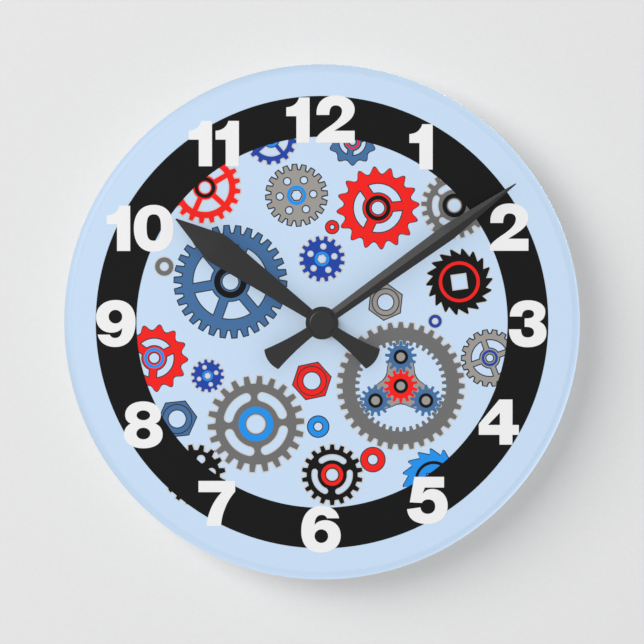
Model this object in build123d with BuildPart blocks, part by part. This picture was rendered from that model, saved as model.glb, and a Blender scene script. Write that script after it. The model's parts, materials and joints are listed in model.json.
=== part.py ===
"""Round wall clock with leaf hands on a printed acrylic dial and a battery quartz movement behind it.

Millimetres. +Z is up, the dial faces -Y, and +X is at three o'clock. The origin is on the axis of
the hands, in the plane of the wall. Depth means distance from the wall towards the viewer.
"""
from build123d import *
from math import atan2, cos, degrees, hypot, pi, radians, sin
import os

# Dial
dial_diameter = 203.2
dial_thickness = 5.0
dial_edge_radius = 3.0
dial_back_edge = 0.6

# Hands, set at about nine minutes past ten; angles are clockwise from twelve
minute_angle = 54.3
hour_angle = 305.4
minute_tip_inset = 8.3
hour_shortfall = 23.0
minute_taper = 32.3
hour_taper = 19.4
minute_neck_width = 4.0
hour_neck_width = 3.0
minute_widest = 6.6
hour_widest = 12.4
tip_width = 0.5
shoulder_softening = 2.0
blade_edge = 0.5
ridge_rise = 0.6
tail_length = 25.7
tail_end_bulge = 1.25
tail_neck_width = 3.9
tail_end_width = 9.5
tail_middle_width = 6.0
tail_middle_reach = 15.1
tail_corner = 0.5
tail_thickness = 0.6

# Hubs of the hands and the nut on top
minute_hub_radius = 6.45
minute_hub_thickness = 1.0
hour_hub_flange = 3.0
hour_hub_thickness = 1.2
collet_wall = 1.0
collet_length = 0.9
collet_gap = 0.3
hands_gap = 1.2
hand_nut_radius = 5.15
hand_nut_height = 2.2
hand_nut_edge = 0.7

# Tubes of the centre, from the inside out
second_arbor_radius = 0.5
minute_tube_wall = 1.25
hour_tube_wall = 0.65
bushing_wall = 1.45
bushing_end = 0.5
bushing_flange_width = 1.95
bushing_flange_thickness = 0.6
minute_flat_depth = 0.4
minute_seat_step = 0.3
minute_end = 1.6

# Clamping of the dial
gasket_radius = 11.0
gasket_thickness = 1.0
washer_width = 2.2
washer_thickness = 0.5
dial_nut_wall = 1.0
dial_nut_height = 2.4

# Clearances
running = 0.05
loose = 0.1
fixed_fit = 0.02
end_play = 0.05

# Case
case_wall = 1.4
case_corner = 2.5
cover_plate = 1.2
split_depth = 4.0
lip_thickness = 0.7
lip_height = 0.9
lip_length = 30.0
partition_wall = 1.2
gear_room = 3.0

# Hanger plate
hanger_width = 24.0
hanger_thickness = 0.8
hanger_corner = 6.0
hanger_standoff = 3.0
hanger_foot = 8.0
hanger_rim = 2.5
keyhole_radius = 4.0
keyhole_slot_width = 4.0
keyhole_slot_rise = 5.5

# Battery cell and its contacts
cell_diameter = 14.2
cell_length = 50.0
cell_nub_length = 1.4
cell_nub_radius = 2.75
cell_edge = 0.6
cell_clearance = 0.2
bay_side_gap = 0.6
contact_thickness = 0.4
contact_lane = 1.2
contact_plate_width = 8.0
contact_plate_height = 10.0
contact_strip_width = 4.6
contact_tab_length = 3.4
contact_tab_height = 2.8
spring_width = 6.0
spring_foot = 9.0

# Gear train: teeth, centre distances and directions seen from the front
cannon_teeth = 14
minute_wheel_teeth = 42
minute_pinion_teeth = 10
hour_wheel_teeth = 40
setting_teeth = 20
third_pinion_teeth = 8
centre_wheel_teeth = 64
second_pinion_teeth = 8
third_wheel_teeth = 60
intermediate_pinion_teeth = 10
second_wheel_teeth = 60
rotor_pinion_teeth = 12
intermediate_wheel_teeth = 60
motion_distance = 9.1
third_distance = 9.0
intermediate_distance = 9.45
rotor_distance = 7.92
motion_direction = 115.0
setting_direction = 150.0
third_direction = 180.0
intermediate_direction = 35.0
rotor_direction = 25.0

# Tooth form: shares of half a tooth pitch, then heights in modules
wheel_root_share = 0.46
wheel_tip_share = 0.18
wheel_addendum = 0.9
wheel_dedendum = 1.25
pinion_root_share = 0.44
pinion_tip_share = 0.16
pinion_addendum = 0.75
pinion_dedendum = 1.3

# Layers of the movement
wheel_thickness = 1.0
layer_gap = 0.4
pinion_overhang = 0.1
bridge_thickness = 1.2
bridge_clearance = 1.2
bridge_arm = 6.0
stator_thickness = 1.0
stator_clearance = 1.0
rotor_gap = 0.6
magnet_overhang = 0.2

# Pivots, posts and bosses
pivot_radius = 0.4
pivot_depth = 0.9
collar_radius = 0.7
third_collar = 0.7
rotor_collar = 0.5
setting_collar = 0.2
intermediate_boss_gap = 0.3
boss_radius = 1.0
rotor_boss_radius = 1.2
setting_boss_radius = 1.6
setting_pivot_radius = 0.8
stud_radius = 0.7
stud_reach = 0.2
post_radius = 1.6
top_post_radius = 1.1
post_pin_radius = 0.6
post_pin_end = 0.2
post_side_inset = 5.6
post_wall_gap = 0.4
top_post_clearance = 1.1
top_post_direction = 78.6

# Stepping motor
magnet_radius = 1.8
rotor_hole_gap = 0.5
stator_ring = 1.3
stator_left = 2.0
stator_arm = 10.5
stator_leg = 2.5
stator_leg_top = 1.6
stator_collar_gap = 0.25
pillar_radius = 1.0
core_height = 2.2
core_thickness = 1.0
bobbin_end_gap = 0.5
bobbin_flange = 0.8
bobbin_flange_rim = 0.4
bobbin_tube_radius = 1.7
winding_radius = 2.8
coil_gap = 0.4

# Electronics
board_half_width = 25.0
board_height = 4.6
board_thickness = 1.0
board_gap = 0.4
board_edge_gap = 0.2
board_lip_gap = 0.3
board_pillar_radius = 1.2
board_pillar_inset = 6.6
chip_radius = 1.6
chip_height = 1.2
chip_gap = 2.4
crystal_radius = 1.0
crystal_length = 6.0
crystal_x = 4.0
crystal_wire_radius = 0.2
crystal_wire_length = 1.2

# Hand setting
knob_radius = 5.5
knob_height = 2.6
knob_back_gap = 0.4
knob_floor_gap = 0.2
knob_side_gap = 1.0
knob_grooves = 24
knob_groove_depth = 0.4
knob_back_wall = 0.9
well_wall = 1.2
well_floor = 1.2
stem_radius = 1.4
stem_collar_radius = 2.2
stem_collar_length = 0.8
bridge_well_gap = 0.7


def polar(start, distance, direction):
    """Point at a distance from start, with direction in degrees from three o'clock."""
    angle = radians(direction)
    return (start[0] + distance * cos(angle), start[1] + distance * sin(angle))


def module_of(distance, teeth_a, teeth_b):
    """Module that makes two gears mesh at this centre distance."""
    return 2 * distance / (teeth_a + teeth_b)


def wheel_tip(teeth, module):
    """Outer radius of a wheel."""
    return (teeth / 2 + wheel_addendum) * module


def pinion_root(teeth, module):
    """Radius at the foot of a pinion's teeth."""
    return (teeth / 2 - pinion_dedendum) * module


def mating_phase(direction, teeth):
    """Turn of a gear that puts a gap where its partner, seen in this direction, has a tooth."""
    return direction + 180 + 180 / teeth


# Places of the axes in the plane of the dial
centre = (0.0, 0.0)
minute_axis = polar(centre, motion_distance, motion_direction)
third_axis = polar(centre, third_distance, third_direction)
intermediate_axis = polar(centre, intermediate_distance, intermediate_direction)
rotor_axis = polar(intermediate_axis, rotor_distance, rotor_direction)

cannon_module = module_of(motion_distance, cannon_teeth, minute_wheel_teeth)
hour_module = module_of(motion_distance, minute_pinion_teeth, hour_wheel_teeth)
centre_module = module_of(third_distance, third_pinion_teeth, centre_wheel_teeth)
third_module = module_of(third_distance, second_pinion_teeth, third_wheel_teeth)
second_module = module_of(intermediate_distance, intermediate_pinion_teeth, second_wheel_teeth)
rotor_module = module_of(rotor_distance, rotor_pinion_teeth, intermediate_wheel_teeth)
setting_distance = cannon_module * (setting_teeth + minute_wheel_teeth) / 2
setting_axis = polar(minute_axis, setting_distance, setting_direction)

# Turns of the gears, in degrees, so that each pair meshes as it stands
minute_wheel_phase = mating_phase(motion_direction, minute_wheel_teeth)
minute_pinion_phase = motion_direction + 180
hour_wheel_phase = motion_direction + 180 / hour_wheel_teeth
setting_offset = (setting_direction - minute_wheel_phase) % (360 / minute_wheel_teeth)
setting_phase = mating_phase(setting_direction, setting_teeth) + (
    setting_offset * minute_wheel_teeth / setting_teeth
)
third_pinion_phase = third_direction + 180
centre_wheel_phase = third_direction + 180 / centre_wheel_teeth
third_wheel_phase = mating_phase(third_direction, third_wheel_teeth)
second_wheel_phase = intermediate_direction + 180 / second_wheel_teeth
intermediate_pinion_phase = intermediate_direction + 180
rotor_pinion_phase = rotor_direction + 180
intermediate_wheel_phase = rotor_direction + 180 / intermediate_wheel_teeth

# Depths, built up from the wall
layer_pitch = wheel_thickness + layer_gap
gear_stack = (
    bridge_clearance + bridge_thickness + stator_clearance + stator_thickness + rotor_gap
    + 6 * layer_pitch
)
case_floor = max(cover_plate + gear_stack, cell_diameter + 2 * cell_clearance)
case_front = case_floor + case_wall
hour_layer = case_floor - layer_pitch
cannon_layer = hour_layer - layer_pitch
centre_layer = cannon_layer - layer_pitch
third_layer = centre_layer - layer_pitch
second_layer = third_layer - layer_pitch
rotor_layer = second_layer - layer_pitch
stator_front = rotor_layer - rotor_gap
stator_rear = stator_front - stator_thickness
bridge_front = stator_rear - stator_clearance
bridge_rear = bridge_front - bridge_thickness
hanger_front = case_front + hanger_thickness
dial_rear = hanger_front + gasket_thickness
dial_front = dial_rear + dial_thickness
washer_front = dial_front + washer_thickness
dial_nut_front = washer_front + dial_nut_height
bushing_front = dial_nut_front + bushing_end
collet_rear = bushing_front + collet_gap
hour_hand_rear = collet_rear + collet_length
hour_hub_front = hour_hand_rear + hour_hub_thickness
minute_hand_rear = hour_hub_front + hands_gap
minute_hub_front = minute_hand_rear + minute_hub_thickness
minute_arbor_front = minute_hub_front + minute_end
hand_nut_front = minute_hub_front + hand_nut_height

# Radii of the centre tubes
minute_bore = second_arbor_radius + running
minute_tube = minute_bore + minute_tube_wall
hour_bore = minute_tube + running
hour_tube = hour_bore + hour_tube_wall
bushing_bore = hour_tube + running
bushing_radius = bushing_bore + bushing_wall
bushing_flange = bushing_radius + bushing_flange_width
minute_seat = minute_tube - minute_seat_step
minute_half_flat = minute_tube - minute_flat_depth

# Heights and widths of the case
second_tip = wheel_tip(second_wheel_teeth, second_module)
largest_tip = max(second_tip, wheel_tip(third_wheel_teeth, third_module))
partition_top = -(largest_tip + gear_room)
partition_bottom = partition_top - partition_wall
cell_radius = cell_diameter / 2
cell_z = partition_bottom - bay_side_gap - cell_radius
inner_bottom = cell_z - cell_radius - bay_side_gap
cell_depth = case_floor - cell_clearance - cell_radius
stator_right = rotor_axis[0] + stator_arm
inner_half = max(
    stator_right + contact_lane,
    cell_length / 2 + contact_thickness * 2 + contact_lane / 2,
    board_half_width + contact_lane + loose,
)
intermediate_tip = wheel_tip(intermediate_wheel_teeth, rotor_module)
stator_disc = magnet_radius + rotor_hole_gap + stator_ring
bobbin_flange_radius = winding_radius + bobbin_flange_rim
coil_z = max(
    rotor_axis[1] + stator_disc + coil_gap + winding_radius,
    intermediate_axis[1] + intermediate_tip + coil_gap + bobbin_flange_radius,
)
leg_top = coil_z + bobbin_flange_radius + stator_leg_top
minute_wheel_tip = wheel_tip(minute_wheel_teeth, cannon_module)
top_post = polar(
    minute_axis, minute_wheel_tip + top_post_radius + top_post_clearance, top_post_direction
)
board_bottom = max(leg_top, top_post[1] + top_post_radius) + board_gap
board_top = board_bottom + board_height
board_middle = (board_bottom + board_top) / 2
inner_top = board_top + board_edge_gap
outer_half = inner_half + case_wall
outer_top = inner_top + case_wall
outer_bottom = inner_bottom - case_wall
post_z = partition_top + post_wall_gap + bridge_arm / 2
left_post = (post_side_inset - inner_half, post_z)
right_post = (inner_half - post_side_inset, post_z)
cover_bottom = partition_top + loose

# Battery contacts stand against the end walls of the bay
contact_outer = inner_half - loose
contact_inner = contact_outer - contact_thickness
cell_right = contact_inner - loose
cell_left = cell_right - cell_length
spring_tip = cell_left - loose

# Circuit board
board_rear = split_depth + lip_height + board_lip_gap
board_front = board_rear + board_thickness
tab_rear = board_rear - contact_thickness

# Setting knob and its well in the rear cover
knob_front = knob_back_gap + knob_height
well_rear = knob_front + knob_floor_gap
well_front = well_rear + well_floor
well_inner = knob_radius + knob_side_gap
well_outer = well_inner + well_wall

# Hanger plate: up the front of the case, back over its top, then up again close to the wall
hanger_bottom = -(bushing_radius + hanger_foot)
return_bottom = outer_top + loose
return_top = return_bottom + hanger_thickness
keyhole_z = return_top + hanger_rim + keyhole_radius
hanger_top = keyhole_z + keyhole_slot_rise + keyhole_slot_width / 2 + hanger_rim
tab_front = hanger_standoff + hanger_thickness


def face_plane(depth):
    """Plane parallel to the wall at this depth, facing the viewer, with its y axis up."""
    return Plane.XZ.offset(depth)


def side_plane(x):
    """Plane across the clock at x, facing -X: its x axis is depth and its y axis is up."""
    return Plane(origin=(x, 0, 0), x_dir=(0, -1, 0), z_dir=(-1, 0, 0))


def disc(at, radius, rear, front, mode=Mode.ADD):
    """Round pin, boss or hole, square to the dial, between two depths."""
    with BuildSketch(face_plane(rear)) as outline:
        with Locations(at):
            Circle(radius)
    extrude(to_extrude=outline.sketch, amount=front - rear, mode=mode)


def block(left, right, bottom, top, rear, front, mode=Mode.ADD):
    """Rectangular wall, strip or recess between two depths."""
    with BuildSketch(face_plane(rear)) as outline:
        with Locations(((left + right) / 2, (bottom + top) / 2)):
            Rectangle(right - left, top - bottom)
    extrude(to_extrude=outline.sketch, amount=front - rear, mode=mode)


def toothed(at, teeth, phase, rear, front, root, tip):
    """Extruded gear; root and tip give a radius and a share of half a tooth pitch."""
    half_pitch = pi / teeth
    corners = []
    for tooth in range(teeth):
        for radius, share in ((root[0], -root[1]), (tip[0], -tip[1]), tip, root):
            angle = radians(phase) + (2 * tooth + share) * half_pitch
            corners.append((at[0] + radius * cos(angle), at[1] + radius * sin(angle)))
    with BuildSketch(face_plane(rear)) as outline:
        with BuildLine():
            Polyline(*corners, close=True)
        make_face()
    extrude(to_extrude=outline.sketch, amount=front - rear)


def wheel(at, teeth, module, phase, rear):
    """Large gear, one wheel thickness deep."""
    pitch_radius = teeth * module / 2
    root = (pitch_radius - wheel_dedendum * module, wheel_root_share)
    tip = (pitch_radius + wheel_addendum * module, wheel_tip_share)
    toothed(at, teeth, phase, rear, rear + wheel_thickness, root, tip)


def pinion(at, teeth, module, phase, rear, front):
    """Small gear between two depths."""
    pitch_radius = teeth * module / 2
    root = (pitch_radius - pinion_dedendum * module, pinion_root_share)
    tip = (pitch_radius + pinion_addendum * module, pinion_tip_share)
    toothed(at, teeth, phase, rear, front, root, tip)


def bar(start, end, width):
    """Sketch of a round-ended bar between two points."""
    run = (end[0] - start[0], end[1] - start[1])
    with Locations(((start[0] + end[0]) / 2, (start[1] + end[1]) / 2)):
        SlotCenterToCenter(hypot(*run), width, rotation=degrees(atan2(run[1], run[0])))


def hand_plane(depth, clockwise):
    """Plane at the back of a hand, with its y axis along the blade."""
    turn = radians(clockwise)
    return Plane(origin=(0, -depth, 0), x_dir=(cos(turn), 0, -sin(turn)), z_dir=(0, -1, 0))


def blade(plane, length, taper, neck_width, widest):
    """Leaf blade with a ridge: it widens to a softened shoulder, then tapers to the tip."""
    shoulder = length - taper
    before = widest - (widest - neck_width) * shoulder_softening / shoulder
    after = widest - (widest - tip_width) * shoulder_softening / taper
    stations = (
        (0, neck_width / 2),
        (shoulder - shoulder_softening, before / 2),
        (shoulder, (before + 2 * widest + after) / 8),
        (shoulder + shoulder_softening, after / 2),
        (length, tip_width / 2),
    )
    sections = []
    for reach, half_width in stations:
        origin = plane.from_local_coords((0, reach, 0))
        ridge = blade_edge + ridge_rise * half_width / (widest / 2)
        with BuildSketch(Plane(origin=origin, x_dir=plane.x_dir, z_dir=-plane.y_dir)) as section:
            with BuildLine():
                Polyline(
                    (-half_width, 0),
                    (half_width, 0),
                    (half_width, blade_edge),
                    (0, ridge),
                    (-half_width, blade_edge),
                    close=True,
                )
            make_face()
        sections.append(section.sketch.face())
    loft(sections=sections, ruled=True)


def tail(plane):
    """Flat flared counterweight behind the hub of a hand, with a full round end."""
    with BuildSketch(plane) as outline:
        neck = tail_neck_width / 2
        middle = (tail_middle_width / 2, -tail_middle_reach)
        corner = (tail_end_width / 2, tail_end_bulge - tail_length)
        with BuildLine():
            Line((-neck, 0), (neck, 0))
            ThreePointArc((neck, 0), middle, corner)
            ThreePointArc(corner, (0, -tail_length), (-corner[0], corner[1]))
            ThreePointArc((-corner[0], corner[1]), (-middle[0], middle[1]), (-neck, 0))
        make_face()
        fillet(outline.vertices().sort_by(Axis.Y)[:2], tail_corner)
    extrude(to_extrude=outline.sketch, amount=tail_thickness)


os.makedirs("parts", exist_ok=True)

# Dial plate: acrylic disc with a rounded front edge
with BuildPart() as dial_plate:
    disc(centre, dial_diameter / 2, dial_rear, dial_front)
    rims = dial_plate.edges().filter_by(GeomType.CIRCLE).sort_by(Axis.Y)
    fillet(rims[0], min(dial_edge_radius, dial_thickness - 2 * dial_back_edge))
    fillet(dial_plate.edges().filter_by(GeomType.CIRCLE).sort_by(Axis.Y)[-1], dial_back_edge)
    disc(centre, bushing_radius + loose, dial_rear, dial_front, Mode.SUBTRACT)
dial_plate.part.label = "dial_plate"
export_step(dial_plate.part, "parts/dial_plate.step")

# Hour hand: leaf blade, tail and hub pressed in one, with a collet that grips the hour tube
minute_length = dial_diameter / 2 - minute_tip_inset
hour_length = minute_length - hour_shortfall
with BuildPart() as hour_hand:
    hour_plane = hand_plane(hour_hand_rear, hour_angle)
    blade(hour_plane, hour_length, hour_taper, hour_neck_width, hour_widest)
    tail(hour_plane)
    disc(centre, hour_tube + hour_hub_flange, hour_hand_rear, hour_hub_front)
    disc(centre, hour_tube + fixed_fit + collet_wall, collet_rear, hour_hand_rear)
    disc(centre, hour_tube + fixed_fit, collet_rear, hour_hub_front, Mode.SUBTRACT)
hour_hand.part.label = "hour_hand"
export_step(hour_hand.part, "parts/hour_hand.step")

# Minute hand: longer blade on a round hub with a hole that fits the flats of the arbor
with BuildPart() as minute_hand:
    minute_plane = hand_plane(minute_hand_rear, minute_angle)
    blade(minute_plane, minute_length, minute_taper, minute_neck_width, minute_widest)
    tail(minute_plane)
    disc(centre, minute_hub_radius, minute_hand_rear, minute_hub_front)
    with BuildSketch(minute_plane):
        Circle(minute_tube + fixed_fit)
        Rectangle(
            2 * minute_tube + 1, 2 * (minute_half_flat + fixed_fit), mode=Mode.INTERSECT
        )
    extrude(amount=minute_hub_front - minute_hand_rear + ridge_rise, mode=Mode.SUBTRACT)
minute_hand.part.label = "minute_hand"
export_step(minute_hand.part, "parts/minute_hand.step")

# Hand nut: round closed cap that holds the minute hand down
with BuildPart() as hand_nut:
    disc(centre, hand_nut_radius, minute_hub_front, hand_nut_front)
    cap_rim = hand_nut.edges().filter_by(GeomType.CIRCLE).sort_by(Axis.Y)[0]
    fillet(cap_rim, min(hand_nut_edge, hand_nut_height / 2))
    disc(
        centre, minute_tube + fixed_fit, minute_hub_front, minute_arbor_front + loose,
        Mode.SUBTRACT,
    )
hand_nut.part.label = "hand_nut"
export_step(hand_nut.part, "parts/hand_nut.step")

# Dial nut: thin hexagon nut on the bushing
with BuildPart() as dial_nut:
    with BuildSketch(face_plane(washer_front)):
        RegularPolygon(bushing_radius + dial_nut_wall, 6, major_radius=False)
        Circle(bushing_radius + fixed_fit, mode=Mode.SUBTRACT)
    extrude(amount=dial_nut_height)
dial_nut.part.label = "dial_nut"
export_step(dial_nut.part, "parts/dial_nut.step")

# Dial washer: flat ring under the nut
with BuildPart() as dial_washer:
    disc(centre, bushing_radius + washer_width, dial_front, washer_front)
    disc(centre, bushing_radius + loose, dial_front, washer_front, Mode.SUBTRACT)
dial_washer.part.label = "dial_washer"
export_step(dial_washer.part, "parts/dial_washer.step")

# Rubber gasket between the hanger plate and the dial
with BuildPart() as rubber_gasket:
    disc(centre, gasket_radius, hanger_front, dial_rear)
    disc(centre, bushing_radius + loose, hanger_front, dial_rear, Mode.SUBTRACT)
rubber_gasket.part.label = "rubber_gasket"
export_step(rubber_gasket.part, "parts/rubber_gasket.step")

# Hanger strap: stamped strip, clamped on the case by the gasket and bent back over its top
with BuildPart() as hanger_strap:
    with BuildSketch(side_plane(hanger_width / 2)) as profile:
        with BuildLine():
            Polyline(
                (case_front, hanger_bottom),
                (hanger_front, hanger_bottom),
                (hanger_front, return_top),
                (hanger_standoff, return_top),
                (hanger_standoff, return_bottom),
                (case_front, return_bottom),
                close=True,
            )
        make_face()
        outer_bends = [
            corner for corner in profile.vertices()
            if abs(corner.X - hanger_front) + abs(corner.Y - return_top) < fixed_fit
            or abs(corner.X - hanger_standoff) + abs(corner.Y - return_bottom) < fixed_fit
        ]
        fillet(outer_bends, hanger_thickness)
    extrude(amount=hanger_width)
    strip_end = hanger_strap.edges().filter_by(Axis.Y).group_by(Axis.Z)[0]
    fillet(strip_end, min(hanger_corner, hanger_width / 2 - loose))
    disc(centre, bushing_radius + loose, case_front, hanger_front, Mode.SUBTRACT)
hanger_strap.part.label = "hanger_strap"
export_step(hanger_strap.part, "parts/hanger_strap.step")

# Hanger plate: upright end of that strip, close to the wall, with the keyhole
with BuildPart() as hanger_plate:
    block(
        -hanger_width / 2, hanger_width / 2, return_top, hanger_top, hanger_standoff, tab_front
    )
    plate_top = hanger_plate.edges().filter_by(Axis.Y).group_by(Axis.Z)[-1]
    fillet(plate_top, min(hanger_corner, hanger_width / 2 - loose))
    with BuildSketch(face_plane(hanger_standoff)):
        with Locations((0, keyhole_z)):
            Circle(keyhole_radius)
        with Locations((0, keyhole_z + keyhole_slot_rise / 2)):
            SlotCenterToCenter(keyhole_slot_rise, keyhole_slot_width, rotation=90)
    extrude(amount=hanger_thickness, mode=Mode.SUBTRACT)
hanger_plate.part.label = "hanger_plate"
export_step(hanger_plate.part, "parts/hanger_plate.step")

# Threaded bushing: sleeve with a flange let into the front plate of the case
with BuildPart() as threaded_bushing:
    disc(centre, bushing_radius, case_floor, bushing_front)
    disc(centre, bushing_flange, case_floor, case_floor + bushing_flange_thickness)
    disc(centre, bushing_bore, case_floor, bushing_front, Mode.SUBTRACT)
threaded_bushing.part.label = "threaded_bushing"
export_step(threaded_bushing.part, "parts/threaded_bushing.step")

# Ends of the bosses, one end play in front of what turns against them
third_boss = centre_layer + wheel_thickness + pinion_overhang + third_collar
intermediate_boss = centre_layer + wheel_thickness + intermediate_boss_gap
rotor_boss = rotor_layer + wheel_thickness + pinion_overhang + rotor_collar
setting_boss = cannon_layer + wheel_thickness + setting_collar
stud_end = cannon_layer - stud_reach
pin_rear = bridge_rear - post_pin_end
stator_bar_half = (
    rotor_axis[1] - intermediate_axis[1] - collar_radius - stator_collar_gap
)
left_leg_x = stator_left + stator_leg / 2
right_leg_x = stator_right - stator_leg / 2
pillar_z = leg_top - pillar_radius
stator_pillars = (
    (left_leg_x, pillar_z), (right_leg_x, pillar_z), (right_leg_x, rotor_axis[1])
)
board_pillars = (
    (board_pillar_inset - inner_half, board_middle), (inner_half - board_pillar_inset, board_middle)
)

# Front case: walls of the gear bay and the battery bay
outer_middle = (outer_top + outer_bottom) / 2
with BuildPart() as front_case:
    with BuildSketch(face_plane(0)):
        with Locations((0, outer_middle)):
            RectangleRounded(2 * outer_half, outer_top - outer_bottom, case_corner)
    extrude(amount=case_floor)
    block(
        -outer_half, outer_half, partition_top, outer_top, 0, split_depth, Mode.SUBTRACT
    )
    block(-inner_half, inner_half, partition_top, inner_top, 0, case_floor, Mode.SUBTRACT)
    block(-inner_half, inner_half, inner_bottom, partition_bottom, 0, case_floor, Mode.SUBTRACT)
    for side in (-1, 1):
        lane_middle = side * (inner_half - contact_lane / 2)
        block(
            lane_middle - contact_lane / 2, lane_middle + contact_lane / 2,
            partition_bottom, partition_top, split_depth, case_floor, Mode.SUBTRACT,
        )
front_case.part.label = "front_case"
export_step(front_case.part, "parts/front_case.step")

# Front plate: closes the walls towards the dial, and carries the pivots and posts
with BuildPart() as front_plate:
    with BuildSketch(face_plane(case_floor)):
        with Locations((0, outer_middle)):
            RectangleRounded(2 * outer_half, outer_top - outer_bottom, case_corner)
    extrude(amount=case_wall)
    disc(third_axis, boss_radius, third_boss, case_floor)
    disc(
        third_axis, pivot_radius + running, third_boss, third_boss + pivot_depth + loose,
        Mode.SUBTRACT,
    )
    disc(intermediate_axis, boss_radius, intermediate_boss, case_floor)
    disc(
        intermediate_axis, pivot_radius + running, intermediate_boss,
        intermediate_boss + pivot_depth + loose, Mode.SUBTRACT,
    )
    disc(rotor_axis, rotor_boss_radius, rotor_boss, case_floor)
    disc(
        rotor_axis, pivot_radius + running, rotor_boss, rotor_boss + pivot_depth + loose,
        Mode.SUBTRACT,
    )
    disc(setting_axis, setting_boss_radius, setting_boss, case_floor)
    disc(
        setting_axis, setting_pivot_radius + running, setting_boss,
        setting_boss + pivot_depth + loose, Mode.SUBTRACT,
    )
    disc(minute_axis, stud_radius, stud_end, case_floor)
    for post, radius in (
        (left_post, post_radius), (right_post, post_radius), (top_post, top_post_radius)
    ):
        disc(post, radius, bridge_front, case_floor)
        disc(post, post_pin_radius, pin_rear, bridge_front)
    for pillar in stator_pillars:
        disc(pillar, pillar_radius, stator_front, case_floor)
    for pillar in board_pillars:
        disc(pillar, board_pillar_radius, board_front, case_floor)
    disc(centre, bushing_radius + running, case_floor, case_front, Mode.SUBTRACT)
    disc(
        centre, bushing_flange + running, case_floor, case_floor + bushing_flange_thickness,
        Mode.SUBTRACT,
    )
front_plate.part.label = "front_plate"
export_step(front_plate.part, "parts/front_plate.step")

# Rear cover: shallow lid over the gears, with a sunk well for the setting knob
with BuildPart() as rear_cover:
    with BuildSketch(face_plane(0)):
        with Locations((0, outer_middle)):
            RectangleRounded(2 * outer_half, outer_top - outer_bottom, case_corner)
        with Locations((0, cover_bottom - (outer_top - outer_bottom) / 2)):
            Rectangle(3 * outer_half, outer_top - outer_bottom, mode=Mode.SUBTRACT)
    extrude(amount=split_depth)
    block(
        -inner_half, inner_half, cover_bottom - case_wall, inner_top, cover_plate, split_depth,
        Mode.SUBTRACT,
    )
    lip_top = inner_top - loose
    block(
        -lip_length / 2, lip_length / 2, lip_top - lip_thickness, lip_top, cover_plate,
        split_depth + lip_height,
    )
    disc(setting_axis, well_outer, 0, well_front)
    disc(setting_axis, well_inner, 0, well_rear, Mode.SUBTRACT)
    disc(setting_axis, stem_radius + loose, well_rear, well_front, Mode.SUBTRACT)
rear_cover.part.label = "rear_cover"
export_step(rear_cover.part, "parts/rear_cover.step")

# Gear bridge: branched plate that holds the rear pivots
with BuildPart() as gear_bridge:
    with BuildSketch(face_plane(bridge_rear)):
        for start, end in (
            (left_post, third_axis), (third_axis, centre), (centre, right_post),
            (centre, top_post), (centre, intermediate_axis), (intermediate_axis, rotor_axis),
        ):
            bar(start, end, bridge_arm)
        with Locations(setting_axis):
            Circle(well_outer + bridge_well_gap, mode=Mode.SUBTRACT)
        coil_low = coil_z - bobbin_flange_radius - coil_gap
        coil_left = stator_left + stator_leg
        with Locations(((coil_left + stator_right) / 2, (coil_low + leg_top) / 2)):
            Rectangle(stator_right - coil_left, leg_top - coil_low, mode=Mode.SUBTRACT)
        with Locations(centre, third_axis, intermediate_axis, rotor_axis):
            Circle(pivot_radius + running, mode=Mode.SUBTRACT)
        with Locations(left_post, right_post, top_post):
            Circle(post_pin_radius + running, mode=Mode.SUBTRACT)
    extrude(amount=bridge_thickness)
gear_bridge.part.label = "gear_bridge"
export_step(gear_bridge.part, "parts/gear_bridge.step")

# Hour wheel with the hour tube
with BuildPart() as hour_wheel:
    wheel(centre, hour_wheel_teeth, hour_module, hour_wheel_phase, hour_layer)
    disc(centre, hour_tube, hour_layer, hour_hub_front)
    disc(centre, hour_bore, hour_layer, hour_hub_front, Mode.SUBTRACT)
hour_wheel.part.label = "hour_wheel"
export_step(hour_wheel.part, "parts/hour_wheel.step")

# Minute arbor: seat for the centre wheel, cannon pinion, tube, and flats for the hand
seat_rear = centre_layer - layer_gap / 2
with BuildPart() as minute_arbor:
    disc(centre, minute_seat, seat_rear, cannon_layer)
    pinion(
        centre, cannon_teeth, cannon_module, motion_direction,
        cannon_layer, cannon_layer + wheel_thickness,
    )
    disc(centre, minute_tube, cannon_layer + wheel_thickness, minute_hand_rear)
    with BuildSketch(hand_plane(minute_hand_rear, minute_angle)):
        Circle(minute_tube)
        Rectangle(2 * minute_tube + 1, 2 * minute_half_flat, mode=Mode.INTERSECT)
    extrude(amount=minute_arbor_front - minute_hand_rear)
    disc(centre, minute_bore, seat_rear, minute_arbor_front, Mode.SUBTRACT)
minute_arbor.part.label = "minute_arbor"
export_step(minute_arbor.part, "parts/minute_arbor.step")

# Minute wheel with its pinion, loose on a stud of the case
minute_pinion_front = hour_layer + wheel_thickness
with BuildPart() as minute_wheel:
    wheel(minute_axis, minute_wheel_teeth, cannon_module, minute_wheel_phase, cannon_layer)
    pinion(
        minute_axis, minute_pinion_teeth, hour_module, minute_pinion_phase,
        cannon_layer + wheel_thickness, minute_pinion_front,
    )
    disc(minute_axis, stud_radius + running, cannon_layer, minute_pinion_front, Mode.SUBTRACT)
minute_wheel.part.label = "minute_wheel"
export_step(minute_wheel.part, "parts/minute_wheel.step")

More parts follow.
